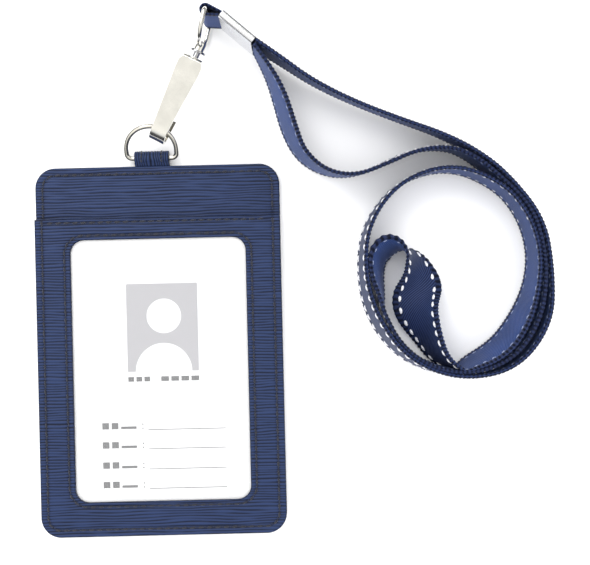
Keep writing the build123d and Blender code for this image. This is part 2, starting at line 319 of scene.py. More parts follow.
# %% Read the smooth line
def smooth_line(points):
    """The points of a NURBS spline through a route, as an unbevelled curve's mesh gives them."""
    curve = bpy.data.curves.new("route", "CURVE")
    curve.dimensions = "3D"
    curve.resolution_u = 30
    spline = curve.splines.new("NURBS")
    spline.points.add(len(points) - 1)
    for control, place in zip(spline.points, points):
        control.co = (*place, 1.0)
    spline.order_u = 3
    spline.use_endpoint_u = True
    carrier = bpy.data.objects.new("route", curve)
    mesh = bpy.data.meshes.new_from_object(carrier)
    line = [vertex.co.copy() for vertex in mesh.vertices]
    bpy.data.meshes.remove(mesh)
    bpy.data.objects.remove(carrier)
    bpy.data.curves.remove(curve)
    return line


centre_line = smooth_line([point[:3] for point in route])
turn_line = [value.x for value in smooth_line([(point[3] * mm, 0.0, 0.0) for point in route])]
ribbon_turn = [math.radians(value / mm) for value in turn_line]
along = [0.0]
for here, after in zip(centre_line, centre_line[1:]):
    along.append(along[-1] + (after - here).length)
ribbon_length = along[-1]
print("ribbon", len(centre_line), "stations,", round(ribbon_length, 4), "m long")

# %% [markdown]
# ## The ribbon's frames
# At each station the ribbon needs three directions: forward, out of its stitched face, and across it
# from the lower edge to the upper one. Taking "left" flat on the table and turning it by the route's
# turn keeps the ribbon free of stray twist, which a frame carried along the curve would pick up.


# %% Frames along the ribbon
def ribbon_frames(line, turns):
    """(place, forward, face normal, across) at each station."""
    frames = []
    up = Vector((0.0, 0.0, 1.0))
    last = len(line) - 1
    for i, place in enumerate(line):
        forward = (line[min(i + 1, last)] - line[max(i - 1, 0)]).normalized()
        left = up.cross(forward).normalized()
        level_up = forward.cross(left)
        face = left * math.cos(turns[i]) + level_up * math.sin(turns[i])
        across = level_up * math.cos(turns[i]) - left * math.sin(turns[i])
        frames.append((place, forward, face, across))
    return frames


frames = ribbon_frames(centre_line, ribbon_turn)

# %% Ribbon cross-section
half_width = ribbon_width / 2
stitch_row = 5.4 * mm       # the saddle stitch runs this far from the ribbon's middle
# Half of the section as (across, out): a flat body, a shallow channel at the stitches, a full selvedge.
half_section = [
    (0.0, 0.44), (2.6, 0.44), (4.8, 0.44), (5.4, 0.35),
    (6.0, 0.48), (6.6, 0.56), (7.15, 0.50), (7.5, 0.20),
]
front = [(-a, b) for a, b in reversed(half_section[1:])] + half_section
section = front + [(a, -b) for a, b in reversed(front)]
print("section has", len(section), "points")


# %% How the flat section sits in space
rope_pitch = 1.25 * mm      # one turn of the selvedge's binding yarn
cup_most = 0.80             # half the angle that the ribbon dishes through where it lies over


def ribbon_point(frame, turn, distance, a, b):
    """A section point in space: selvedges swell with the binding yarn, and a twisted stretch dishes."""
    place, forward, face, across = frame
    if abs(a) > 5.7:
        phase = 2 * math.pi * distance / rope_pitch + (1.5 if b > 0 else -1.5) + 1.2 * a
        b *= 1.0 + 0.24 * math.sin(phase)
        a *= 1.0 + 0.013 * math.sin(phase + 0.8)
    cup = cup_most * math.sin(turn) ** 2
    if cup < 0.02:
        return place + across * (a * mm) + face * (b * mm)
    radius = 7.5 / cup
    angle = a / radius
    rise = radius * (1.0 - math.cos(angle)) - 0.33 * radius * (1.0 - math.cos(cup))
    side = across * math.cos(angle) + face * math.sin(angle)
    out = face * math.cos(angle) - across * math.sin(angle)
    base = place + across * (radius * math.sin(angle) * mm) + face * (rise * mm)
    return base + out * (b * mm)


# %% A skin round a strip
back_shift = 0.05           # the back's UV lies this far beside the front's


def strip_skin(name, rings, marks, outline):
    """A closed skin through rings of points, with its length and width kept as a UV map in metres."""
    skin = bmesh.new()
    strip = skin.loops.layers.uv.new("strip")
    rings = [[skin.verts.new(point) for point in ring] for ring in rings]
    count = len(outline)
    for i in range(len(rings) - 1):
        for j in range(count):
            k = (j + 1) % count
            quad = skin.faces.new((rings[i][j], rings[i + 1][j], rings[i + 1][k], rings[i][k]))
            quad.smooth = True
            spans = (marks[i], marks[i + 1], marks[i + 1], marks[i])
            for loop, span, side in zip(quad.loops, spans, (j, j, k, k)):
                a, b = outline[side]
                loop[strip].uv = (span, a * mm + (0.0 if b > 0 else back_shift))
    skin.faces.new(rings[0])
    skin.faces.new(list(reversed(rings[-1])))
    bmesh.ops.recalc_face_normals(skin, faces=skin.faces)
    return finished_piece(name, skin)


# %% Build the ribbon
ribbon_rings = [
    [ribbon_point(station, turn, distance, a, b) for a, b in section]
    for station, turn, distance in zip(frames, ribbon_turn, along)
]
ribbon = strip_skin("ribbon", ribbon_rings, along, section)
print("ribbon has", len(ribbon.data.polygons), "faces")

# %% [markdown]
# ## The ribbon's finish
# The stitched face is a navy satin with a fine slanting weave, the back is a plainer, lighter blue, and
# both edges are a darker selvedge with short ribs across it. A picture could hold this, but a weave
# made of nodes stays sharp at any size. The UV map is in metres along and across the strip, so the
# weave follows every turn; the back is marked by a UV that is shifted by 50 mm.


# %% Ribbon material
def paint_ribbon():
    """Satin weave, a plainer back and ribbed selvedges, all from the strip's own UV map."""
    material, tree, shader = new_material("ribbon_satin")
    link = tree.links.new
    strip_map = add_node(tree, "ShaderNodeUVMap", uv_map="strip")
    parts = add_node(tree, "ShaderNodeSeparateXYZ")
    link(strip_map.outputs["UV"], parts.inputs["Vector"])
    is_back = add_node(tree, "ShaderNodeMath", operation="GREATER_THAN")
    is_back.inputs[1].default_value = 0.025
    link(parts.outputs["Y"], is_back.inputs[0])
    shift = add_node(tree, "ShaderNodeMath", operation="MULTIPLY")
    shift.inputs[1].default_value = 0.05
    link(is_back.outputs[0], shift.inputs[0])
    across = add_node(tree, "ShaderNodeMath", operation="SUBTRACT")
    link(parts.outputs["Y"], across.inputs[0])
    link(shift.outputs[0], across.inputs[1])
    reach = add_node(tree, "ShaderNodeMath", operation="ABSOLUTE")
    link(across.outputs[0], reach.inputs[0])
    selvedge = add_node(tree, "ShaderNodeMapRange", interpolation_type="SMOOTHSTEP")
    selvedge.inputs["From Min"].default_value = 5.6 * mm
    selvedge.inputs["From Max"].default_value = 6.1 * mm
    link(reach.outputs[0], selvedge.inputs["Value"])

    flat = add_node(tree, "ShaderNodeCombineXYZ")
    link(parts.outputs["X"], flat.inputs["X"])
    link(across.outputs[0], flat.inputs["Y"])
    slant = add_node(tree, "ShaderNodeMapping")
    slant.inputs["Rotation"].default_value = (0.0, 0.0, math.radians(38))
    link(flat.outputs["Vector"], slant.inputs["Vector"])
    twill = add_node(tree, "ShaderNodeTexWave", Scale=560.0, Distortion=0.8, Detail=1.0)
    twill.inputs["Detail Scale"].default_value = 1.5
    link(slant.outputs["Vector"], twill.inputs["Vector"])
    ribs = add_node(tree, "ShaderNodeTexWave", bands_direction="X", Scale=250.0, Distortion=2.2, Detail=2.0)
    ribs.inputs["Detail Scale"].default_value = 3.0
    link(flat.outputs["Vector"], ribs.inputs["Vector"])
    cloud = add_node(tree, "ShaderNodeTexNoise", Scale=90.0, Detail=4.0, Roughness=0.6)
    link(flat.outputs["Vector"], cloud.inputs["Vector"])
    fibre = add_node(tree, "ShaderNodeTexNoise", Scale=2600.0, Detail=2.0)
    link(flat.outputs["Vector"], fibre.inputs["Vector"])

    front_tone = colour_ramp(tree, [(0.15, (0.007, 0.012, 0.038)), (0.85, (0.026, 0.042, 0.115))])
    link(twill.outputs["Fac"], front_tone.inputs["Fac"])
    back_tone = colour_ramp(tree, [(0.1, (0.018, 0.037, 0.125)), (0.9, (0.036, 0.068, 0.205))])
    link(twill.outputs["Fac"], back_tone.inputs["Fac"])
    edge_tone = colour_ramp(tree, [(0.25, (0.003, 0.005, 0.016)), (0.8, (0.018, 0.027, 0.075))])
    link(ribs.outputs["Fac"], edge_tone.inputs["Fac"])
    face_mix = add_node(tree, "ShaderNodeMix", data_type="RGBA")
    link(is_back.outputs[0], face_mix.inputs["Factor"])
    link(front_tone.outputs["Color"], face_mix.inputs["A"])
    link(back_tone.outputs["Color"], face_mix.inputs["B"])
    edge_mix = add_node(tree, "ShaderNodeMix", data_type="RGBA")
    link(selvedge.outputs["Result"], edge_mix.inputs["Factor"])
    link(face_mix.outputs["Result"], edge_mix.inputs["A"])
    link(edge_tone.outputs["Color"], edge_mix.inputs["B"])
    tired = stretched(tree, cloud.outputs["Fac"], 0.3, 0.7, 0.82, 1.15)
    worn = add_node(tree, "ShaderNodeVectorMath", operation="SCALE")
    link(edge_mix.outputs["Result"], worn.inputs["Vector"])
    link(tired, worn.inputs["Scale"])
    link(worn.outputs["Vector"], shader.inputs["Base Color"])

    weave = add_node(tree, "ShaderNodeMix", data_type="FLOAT")
    link(selvedge.outputs["Result"], weave.inputs["Factor"])
    link(twill.outputs["Fac"], weave.inputs["A"])
    link(ribs.outputs["Fac"], weave.inputs["B"])
    depth = add_node(tree, "ShaderNodeMath", operation="ADD")
    link(weave.outputs["Result"], depth.inputs[0])
    link(fibre.outputs["Fac"], depth.inputs[1])
    raised_by(tree, shader, depth.outputs[0], 0.5, 0.12 * mm)
    link(stretched(tree, cloud.outputs["Fac"], 0.0, 1.0, 0.46, 0.62), shader.inputs["Roughness"])
    shader.inputs["Sheen Weight"].default_value = 0.06
    shader.inputs["Sheen Roughness"].default_value = 0.4
    shader.inputs["Sheen Tint"].default_value = (0.55, 0.65, 0.95, 1.0)
    shader.inputs["Specular IOR Level"].default_value = 0.12
    return material


ribbon_satin = paint_ribbon()
ribbon.data.materials.append(ribbon_satin)

# %% [markdown]
# ## Saddle stitches on the ribbon
# A thick white thread is sewn in long stitches two millimetres inside each edge. On the back the same
# seam shows as small, darker stitches. One stitch is modelled as a rounded bar that dips at both
# ends, and is copied along the rows, because a painted dash would lie flat where the real thread
# catches light and casts a small shadow.


# %% Thread material
def paint_thread(name, dark, light, ply_scale):
    """Twisted thread: slanting plies with a little fuzz."""
    material, tree, shader = new_material(name)
    plies = add_node(tree, "ShaderNodeTexWave", Scale=ply_scale, Distortion=1.2)
    plies.bands_direction = "DIAGONAL"
    on_object(tree, plies)
    colour_by(tree, shader, plies.outputs["Fac"], [(0.2, dark), (0.75, light)])
    raised_by(tree, shader, plies.outputs["Fac"], 0.4, 0.08 * mm)
    shader.inputs["Roughness"].default_value = 0.6
    shader.inputs["Sheen Weight"].default_value = 0.3
    return material


white_thread = paint_thread("white_thread", (0.60, 0.61, 0.66), (0.88, 0.88, 0.90), 900.0)
back_thread = paint_thread("back_thread", (0.10, 0.14, 0.28), (0.30, 0.35, 0.52), 900.0)
navy_thread = paint_thread("navy_thread", (0.0015, 0.0025, 0.01), (0.006, 0.01, 0.032), 1100.0)


# %% One stitch and rows of it
def one_stitch(length, width, height):
    """A rounded bar along X whose ends dip into the cloth, as a mesh to be copied."""
    deselect()
    bpy.ops.mesh.primitive_uv_sphere_add(segments=8, ring_count=10, radius=1.0)
    bar = bpy.context.object
    bpy.ops.object.mode_set(mode="EDIT")
    bpy.ops.transform.rotate(value=math.pi / 2, orient_axis="Y", center_override=(0.0, 0.0, 0.0))
    bpy.ops.transform.resize(value=(length / 2, width / 2, height / 2))
    bpy.ops.object.mode_set(mode="OBJECT")
    for vertex in bar.data.vertices:
        share = vertex.co.x / (length / 2)
        fullness = max(0.0, 1.0 - abs(share) ** 4) ** 0.25
        vertex.co.y *= 0.75 + 0.35 * fullness
        vertex.co.z -= 0.45 * height * share * share
    mesh = bar.data
    bpy.data.objects.remove(bar)
    return mesh


def stitch_rows(name, stitch, places, material):
    """One object from copies of a stitch. Each place is (point, along, out)."""
    rows = bmesh.new()
    for point, way, out in places:
        side = out.cross(way).normalized()
        out = way.cross(side).normalized()
        turn = Matrix((way.normalized(), side, out)).transposed().to_4x4()
        copy = stitch.copy()
        copy.transform(Matrix.Translation(point) @ turn)
        rows.from_mesh(copy)
        bpy.data.meshes.remove(copy)
    for face in rows.faces:
        face.smooth = True
    print(name, len(places), "stitches")
    return finished_piece(name, rows, material)


# %% Stitches along the ribbon
saddle_pitch = 2.95 * mm
saddle_length = 2.2 * mm


def ribbon_station(distance):
    """The ribbon's frame at a distance along it."""
    step = next((i for i, far in enumerate(along) if far >= distance), len(along) - 1)
    step = max(1, step)
    share = (distance - along[step - 1]) / max(along[step] - along[step - 1], 1e-9)
    place = centre_line[step - 1].lerp(centre_line[step], share)
    turn = ribbon_turn[step - 1] + share * (ribbon_turn[step] - ribbon_turn[step - 1])
    return (place, frames[step][1], frames[step][2], frames[step][3]), turn


def ribbon_seam(side_of_face, rise):
    """Stitch places in both rows on one face."""
    places = []
    count = int((ribbon_length - 2 * saddle_pitch) / saddle_pitch)
    for row in (-1, 1):
        for number in range(count):
            distance = saddle_pitch * (number + 1 + 0.065 * math.sin(number * 1.7))
            station, turn = ribbon_station(distance)
            across_here = (row * stitch_row + 0.12 * mm * math.sin(number * 0.9 + row)) / mm
            point = ribbon_point(station, turn, distance, across_here, side_of_face * rise / mm)
            root = ribbon_point(station, turn, distance, across_here, 0.0)
            spot = (point, station[1], (point - root).normalized())
            places.append((distance, spot))
    return places


saddle = one_stitch(saddle_length, 0.86 * mm, 0.62 * mm)
bobbin = one_stitch(saddle_length * 0.7, 0.5 * mm, 0.34 * mm)
front_places = [spot for distance, spot in ribbon_seam(1, 0.50 * mm)]
# The white thread pulls through to the back where the ribbon crosses the coil's far side.
pulled_from = along[len(leg_b + outer_turn[:8]) * 30]
pulled_to = along[len(leg_b + outer_turn + inner_turn[:1]) * 30]
back_seam = ribbon_seam(-1, 0.38 * mm)
back_places = [spot for distance, spot in back_seam if not pulled_from < distance < pulled_to]
pulled_places = [spot for distance, spot in back_seam if pulled_from < distance < pulled_to]
front_stitches = stitch_rows("ribbon_stitches", saddle, front_places, white_thread)
back_stitches = stitch_rows("ribbon_back_stitches", bobbin, back_places, back_thread)
pulled_stitches = stitch_rows("ribbon_pulled_stitches", bobbin, pulled_places, white_thread)
for seam in (front_stitches, back_stitches, pulled_stitches):
    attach(seam, "strap")

# %% [markdown]
# ## The strap's end loop
# Behind the crimped sleeve the ribbon is doubled and passes round the swivel's far bar. The same
# cross-section is swept round a short path, so that its selvedges match the long ribbon.

# %% End loop
far_bar = Vector((16.8, 97.7)) * mm
sleeve_start = Vector((21.35, 96.3)) * mm
sleeve_end = Vector((30.4, 88.4)) * mm
sleeve_way = (sleeve_end - sleeve_start).normalized()
sleeve_side = Vector((-sleeve_way.y, sleeve_way.x))
layer_gap = 0.42 * mm
bar_reach = 1.42 * mm       # the loop's middle runs this far from the bar's


def flat_section(thick):
    """The ribbon's section pressed to a thickness, for where it is clamped or doubled."""
    squeeze = thick / (1.16 * mm)
    return [(a, b * squeeze) for a, b in section]


def end_loop():
    """Path of the doubled ribbon, seen from above: from the sleeve, round the bar and back."""
    outward = (far_bar - sleeve_start).normalized()
    inside = sleeve_end - sleeve_way * 0.6 * mm
    layer = sleeve_side * layer_gap
    round_bar = []
    lean = math.atan2(outward.y, outward.x)
    for step in range(15):
        angle = lean + math.pi / 2 * 1.12 * (1 - step / 7.0)
        round_bar.append(far_bar + Vector((math.cos(angle), math.sin(angle))) * bar_reach)
    start = sleeve_start + layer
    if (round_bar[0] - start).length > (round_bar[-1] - start).length:
        round_bar.reverse()
    return [inside + layer, start, *round_bar, sleeve_start - layer, inside - layer]


loop_path = end_loop()
loop_line = []
for here, after in zip(loop_path, loop_path[1:]):
    pieces_here = max(1, int((after - here).length / (1.2 * mm)))
    loop_line += [here.lerp(after, k / pieces_here) for k in range(pieces_here)]
loop_line.append(loop_path[-1])
loop_line = [point.to_3d() + Vector((0, 0, at_sleeve)) for point in loop_line]

# %% Sweep the end loop
loop_section = flat_section(0.75 * mm)
loop_marks = [0.0]
for here, after in zip(loop_line, loop_line[1:]):
    loop_marks.append(loop_marks[-1] + (after - here).length)
loop_rings = [
    [place + across * (a * mm) + face * (b * mm) for a, b in loop_section]
    for place, forward, face, across in ribbon_frames(loop_line, [0.0] * len(loop_line))
]
end_strip = strip_skin("ribbon_end_loop", loop_rings, loop_marks, loop_section)
end_strip.data.materials.append(ribbon_satin)
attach(end_strip, "strap")
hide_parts("strap_loop")

# %% [markdown]
# ## Ridged leather
# The holder's leather is pressed with fine wavy ridges that run from side to side, join and part
# again. Bump alone would look flat at a low angle, so the ridges are really in the mesh. A grid
# with close rows and wider columns is enough, because the ridges are long. How high a point stands
# on its ridge is also kept as an attribute, and the leather's colour reads it: the tops are painted
# lighter as a painted highlight and the grooves are painted dark as painted shade.

# %% Ridge pattern
ridge_pitch = 0.88 * mm
ridge_depth = 0.15 * mm


def ridge_at(x, y, side):
    """0 in a groove, 1 on a ridge. Slow noise bends the ridges; finer noise fills short grooves."""
    bend = noise.noise(Vector((x / (15 * mm), y / (3.6 * mm), side)))
    wave = noise.noise(Vector((x / (6 * mm), y / (1.9 * mm), side + 9.0)))
    merge = noise.noise(Vector((x / (7 * mm), y / (0.9 * mm), side + 21.0)))
    turn = y / ridge_pitch + 0.62 * bend + 0.13 * wave
    height = 0.5 + 0.5 * math.sin(2 * math.pi * turn)
    return min(1.0, max(0.0, height + 0.55 * max(0.0, merge))) ** 0.75


def inset_from(x, y, half_x, low_y, high_y, radius):
    """How far a point lies inside a rounded rectangle, negative outside."""
    over_x = abs(x) - (half_x - radius)
    over_y = abs(y - (low_y + high_y) / 2) - ((high_y - low_y) / 2 - radius)
    outside = math.hypot(max(over_x, 0.0), max(over_y, 0.0))
    return radius - outside - min(max(over_x, over_y), 0.0)


def half_width_at(y, half_x, low_y, high_y, radius):
    """Half the width of a rounded rectangle at a height y."""
    over = max(low_y + radius - y, y - (high_y - radius), 0.0)
    over = min(over, radius)
    return half_x - radius + math.sqrt(radius * radius - over * over)


# %% Leather material
def paint_leather(name, groove, ridge, gloss):
    """Pressed leather: grooves painted dark as shade, ridge tops painted light as a highlight, fine grain
    and slow colour drift.
    """
    material, tree, shader = new_material(name)
    link = tree.links.new
    height = add_node(tree, "ShaderNodeAttribute", attribute_name="ridge")
    drift = add_node(tree, "ShaderNodeTexNoise", Scale=70.0, Detail=5.0, Roughness=0.65)
    grain = add_node(tree, "ShaderNodeTexNoise", Scale=3800.0, Detail=3.0, Roughness=0.6)
    pores = add_node(tree, "ShaderNodeTexVoronoi", Scale=2300.0)
    on_object(tree, drift, grain, pores)
    # Painted light: ridge tops get a colour lighter than the ridge colour as a painted highlight, and
    # grooves get the groove colour as painted shade; drift noise adds random tone.
    ridge_highlight_colour = tuple(1.35 * c for c in ridge)
    ridge_highlight_and_drift = add_node(tree, "ShaderNodeMath", operation="MULTIPLY_ADD")
    ridge_highlight_and_drift.inputs[1].default_value = 0.35
    link(drift.outputs["Fac"], ridge_highlight_and_drift.inputs[0])
    link(height.outputs["Fac"], ridge_highlight_and_drift.inputs[2])
    lower = add_node(tree, "ShaderNodeMath", operation="SUBTRACT")
    lower.inputs[1].default_value = 0.17
    link(ridge_highlight_and_drift.outputs[0], lower.inputs[0])
    stops = [(0.12, groove), (0.55, ridge), (1.0, ridge_highlight_colour)]
    colour_by(tree, shader, lower.outputs[0], stops)
    sum_up = add_node(tree, "ShaderNodeMath", operation="MULTIPLY_ADD")
    sum_up.inputs[1].default_value = 0.6
    link(pores.outputs["Distance"], sum_up.inputs[0])
    link(grain.outputs["Fac"], sum_up.inputs[2])
    raised_by(tree, shader, sum_up.outputs[0], 0.35, 0.04 * mm)
    rough = stretched(tree, height.outputs["Fac"], 0.0, 1.0, gloss + 0.22, gloss)
    link(rough, shader.inputs["Roughness"])
    shader.inputs["Specular IOR Level"].default_value = 0.22
    return material


def paint_edge():
    """Edge paint: a dark, slightly lumpy coat over the cut leather."""
    material, tree, shader = new_material("edge_paint")
    lumps = add_node(tree, "ShaderNodeTexNoise", Scale=900.0, Detail=3.0)
    on_object(tree, lumps)
    stops = [(0.3, (0.006, 0.009, 0.022)), (0.7, (0.016, 0.022, 0.05))]
    colour_by(tree, shader, lumps.outputs["Fac"], stops)
    raised_by(tree, shader, lumps.outputs["Fac"], 0.4, 0.06 * mm)
    shader.inputs["Roughness"].default_value = 0.36
    return material


leather = paint_leather("ridged_leather", (0.002, 0.005, 0.019), (0.012, 0.024, 0.072), 0.38)
edge_paint = paint_edge()

# %% [markdown]
# ## Leather panels
# Three flat panels make the holder: a back cover, the facing that the card lies on, and the front
# panel with the window. Each starts as a grid, whose rows are moved to the panel's rows and whose
# columns follow the outline, so corners come out round. Faces over the window are deleted, the free
# edge is extruded down to the panel's thickness and filled. Along the seams the leather is drawn in
# a little, and the cut edges are rolled over.

# %% Where the seams run
holder_low, holder_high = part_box("back_cover")
half_holder = holder_high.x
corner = 6.0 * mm
front_low, front_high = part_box("front_panel")
mouth_y = front_high.y
film_low, film_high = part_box("window_film")
window_half = film_high.x - 2.0 * mm
window_low = film_low.y + 2.0 * mm
window_high = film_high.y - 2.0 * mm
window_corner = 4.0 * mm
seam_inset = 2.2 * mm
# Outlines are (half width, lower y, upper y, corner radius).
holder_outline = (half_holder, holder_low.y, holder_high.y, corner)
window_outline = (window_half, window_low, window_high, window_corner)
window_seam_outline = (
    window_half + 1.8 * mm, window_low - 1.35 * mm, window_high + 1.35 * mm, window_corner + 1.5 * mm,
)
hem_y = mouth_y - 1.2 * mm
seam_dip = 0.13 * mm
seam_reach = 0.5 * mm
edge_roll = 0.42 * mm       # how far in the cut edge is rolled over


def seam_distance(x, y, on_front):
    """Distance to the nearest seam of the front panel, or of the facing and the back."""
    nearest = abs(inset_from(x, y, *holder_outline) - seam_inset)
    if on_front:
        nearest = min(nearest, abs(inset_from(x, y, *window_seam_outline)))
        if abs(x) < half_holder - seam_inset:
            nearest = min(nearest, abs(y - hem_y))
    return nearest


def leather_surface(x, y, side, on_front, edge_gap):
    """How far the skin lies below the panel's flat face, and its ridge height."""
    ridge = ridge_at(x, y, side)
    drop = ridge_depth * (1.0 - ridge)
    near = seam_distance(x, y, on_front) / seam_reach
    if near < 3:
        drawn_in = math.exp(-near * near)
        drop += seam_dip * drawn_in
        # Lowering the ridge value also darkens the colour along the seam channel, as painted shade like
        # that in the grooves.
        ridge *= 1.0 - 0.6 * drawn_in
    if edge_gap < edge_roll:
        share = 1.0 - max(edge_gap, 0.0) / edge_roll
        rolled = edge_roll * (1.0 - math.sqrt(max(0.0, 1.0 - share * share)))
        drop = drop * (1.0 - share) + rolled
        ridge *= 1.0 - 0.75 * share
    return drop, ridge


# %% Rows and columns
def steps_between(low, high, step):
    """Even places from low to high, about a step apart, both ends included."""
    count = max(1, round((high - low) / step))
    return [low + (high - low) * k / count for k in range(count + 1)]


def rolled_steps(low, high, step, roll_low=True, roll_high=True):
    """Even places with two more close to each rolled edge."""
    places = steps_between(low, high, step)
    extra = []
    if roll_low:
        extra += [low + 0.05 * mm, low + 0.14 * mm]
    if roll_high:
        extra += [high - 0.05 * mm, high - 0.14 * mm]
    return sorted(places + extra)


# %% Give a panel its thickness
def give_thickness(mesh, top, bottom):
    """Extrudes the free edges of the active mesh down to a level and closes it there."""
    bpy.ops.object.mode_set(mode="EDIT")
    bpy.ops.mesh.select_mode(type="EDGE")
    bpy.ops.mesh.select_all(action="DESELECT")
    bpy.ops.mesh.select_non_manifold()
    down = (0.0, 0.0, bottom - top)
    bpy.ops.mesh.extrude_region_move(TRANSFORM_OT_translate={"value": down})
    bpy.ops.object.mode_set(mode="OBJECT")
    for vertex in mesh.vertices:
        if vertex.select:
            vertex.co.z = bottom
    bpy.ops.object.mode_set(mode="EDIT")
    bpy.ops.mesh.fill(use_beauty=False)
    bpy.ops.mesh.select_all(action="SELECT")
    bpy.ops.mesh.normals_make_consistent(inside=False)
    bpy.ops.object.mode_set(mode="OBJECT")


# %% Build a panel
def leather_panel(name, rows, bands, top, bottom, side, on_front):
    """A ridged panel. bands(y) gives its column places at a row, as lists that share their ends."""
    lines = []
    for y in rows:
        line = []
        for band in bands(y):
            line += band if not line else band[1:]
        lines.append(line)
    columns = len(lines[0])
    deselect()
    bpy.ops.mesh.primitive_grid_add(
        x_subdivisions=columns - 1, y_subdivisions=len(rows) - 1, size=1.0,
    )
    panel = bpy.context.object
    panel.name = name
    mesh = panel.data
    facing_up = 1.0 if top > bottom else -1.0
    heights = mesh.attributes.new("ridge", "FLOAT", "POINT")
    for vertex in mesh.vertices:
        column = round((vertex.co.x + 0.5) * (columns - 1))
        row = round((vertex.co.y + 0.5) * (len(rows) - 1))
        x = lines[row][column]
        y = rows[row]
        gap = inset_from(x, y, *holder_outline)
        if on_front:
            gap = min(gap, mouth_y - y, -inset_from(x, y, *window_outline))
        drop, ridge = leather_surface(x, y, side, on_front, gap)
        vertex.co = (x, y, top - facing_up * drop)
        heights.data[vertex.index].value = ridge
    bpy.ops.object.mode_set(mode="EDIT")
    bpy.ops.mesh.select_mode(type="FACE")
    bpy.ops.mesh.select_all(action="DESELECT")
    bpy.ops.object.mode_set(mode="OBJECT")
    if on_front:
        for face in mesh.polygons:
            face.select = inset_from(face.center.x, face.center.y, *window_outline) > 0
        bpy.ops.object.mode_set(mode="EDIT")
        bpy.ops.mesh.delete(type="FACE")
        bpy.ops.object.mode_set(mode="OBJECT")
    give_thickness(mesh, top, bottom)
    mesh.materials.append(leather)
    mesh.materials.append(edge_paint)
    for face in mesh.polygons:
        face.use_smooth = abs(face.normal.z) > 0.35
        if abs(face.normal.z) < 0.3:
            face.material_index = 1
    print(name, len(mesh.polygons), "faces")
    return panel


# %% Hollow a panel from below
def hollow_out(panel, low, high):
    """Cuts a box-shaped recess out of a panel."""
    low = Vector(low)
    high = Vector(high)
    deselect()
    bpy.ops.mesh.primitive_cube_add(size=1.0, location=(low + high) / 2)
    cutter = bpy.context.object
    cutter.scale = high - low
    cut = panel.modifiers.new("recess", "BOOLEAN")
    cut.operation = "DIFFERENCE"
    cut.object = cutter
    cut.solver = "EXACT"
    bpy.context.view_layer.objects.active = panel
    bpy.ops.object.modifier_apply(modifier="recess")
    bpy.data.objects.remove(cutter)
    print(panel.name, "after the recess", len(panel.data.polygons), "faces")


# %% Front panel
side_step = 0.34 * mm
row_step = 0.2 * mm


def front_bands(y):
    """Column places of the front panel: a side, the middle, and the other side."""
    outer = half_width_at(y, *holder_outline)
    inner = half_width_at(y, *window_outline)
    count = round((half_holder - window_half) / side_step)
    ratio = [k / count for k in range(count + 1)]
    ratio = sorted(ratio + [0.006, 0.014, 0.986, 0.994])
    side_band = [inner + (outer - inner) * share for share in ratio]
    middle = [inner * (2 * k / 84 - 1) for k in range(85)]
    return [[-x for x in reversed(side_band)], middle, side_band]


front_rows = rolled_steps(front_low.y, window_low, row_step)
front_rows += rolled_steps(window_low, window_high, row_step, False, False)[1:]
front_rows += rolled_steps(window_high, mouth_y, row_step)[1:]
front_leather = leather_panel(
    "front_leather", front_rows, front_bands, front_high.z, front_low.z, 0.0, True,
)
card_low, card_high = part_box("id_card")
side_room = 0.5 * mm
hollow_out(
    front_leather,
    (card_low.x - side_room, card_low.y - side_room, front_low.z - 1.0 * mm),
    (card_high.x + side_room, mouth_y + 3.0 * mm, film_high.z),
)
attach(front_leather, "holder")
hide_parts("front_panel")


# %% Facing and back cover
def whole_bands(y):
    """Column places right across the holder."""
    outer = half_width_at(y, *holder_outline)
    ratio = sorted([k / 59 for k in range(60)] + [0.988, 0.9965])
    half = [outer * share for share in ratio]
    return [[-x for x in reversed(half)], half]


facing_low, facing_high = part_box("facing_panel")
facing_rows = steps_between(holder_low.y, mouth_y - 3 * mm, 1.6 * mm)
facing_rows += rolled_steps(mouth_y - 3 * mm, holder_high.y, row_step, False, True)[1:]
facing_leather = leather_panel(
    "facing_leather", facing_rows, whole_bands, facing_high.z, facing_low.z, 3.0, False,
)
board_low, board_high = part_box("stiffener_board")
hollow_out(
    facing_leather,
    (board_low.x, board_low.y, facing_low.z - 1.0 * mm),
    (board_high.x, board_high.y, board_high.z),
)
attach(facing_leather, "holder")
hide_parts("facing_panel")

back_rows = rolled_steps(holder_low.y, holder_high.y, 0.21 * mm)
back_leather = leather_panel(
    "back_leather", back_rows, whole_bands, holder_low.z, holder_high.z, 6.0, False,
)
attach(back_leather, "holder")
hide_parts("back_cover")

# %% [markdown]
# ## Seams of the holder
# The panels are sewn together 2.2 mm inside the edge, with another seam round the window and one
# along the hem of the mouth. The thread is navy, like the leather, so it reads mostly by the dark
# gaps at its holes, which are painted in as small dark marks of shade. One stitch is modelled and
# copied along each seam's path.


# %% Seam paths
def rounded_path(half_x, low_y, high_y, radius, pitch):
    """Evenly spaced (point, way) places round a rounded rectangle."""
    corners = [
        (half_x - radius, high_y - radius, 0), (radius - half_x, high_y - radius, 90),
        (radius - half_x, low_y + radius, 180), (half_x - radius, low_y + radius, 270),
    ]
    line = []
    for x, y, first in corners:
        for step in range(13):
            angle = math.radians(first + 90 * step / 12)
            line.append(Vector((x + radius * math.cos(angle), y + radius * math.sin(angle))))
    line.append(line[0])
    total = sum((b - a).length for a, b in zip(line, line[1:]))
    count = round(total / pitch)
    return spaced_places(line, total / count)


def spaced_places(line, pitch):
    """Places a pitch apart along a run of points, each with its direction."""
    places = []
    left_over = pitch / 2
    for a, b in zip(line, line[1:]):
        length = (b - a).length
        way = (b - a).normalized() if length > 0 else Vector((1.0, 0.0))
        while left_over <= length:
            places.append((a + way * left_over, way))
            left_over += pitch
        left_over -= length
    return places


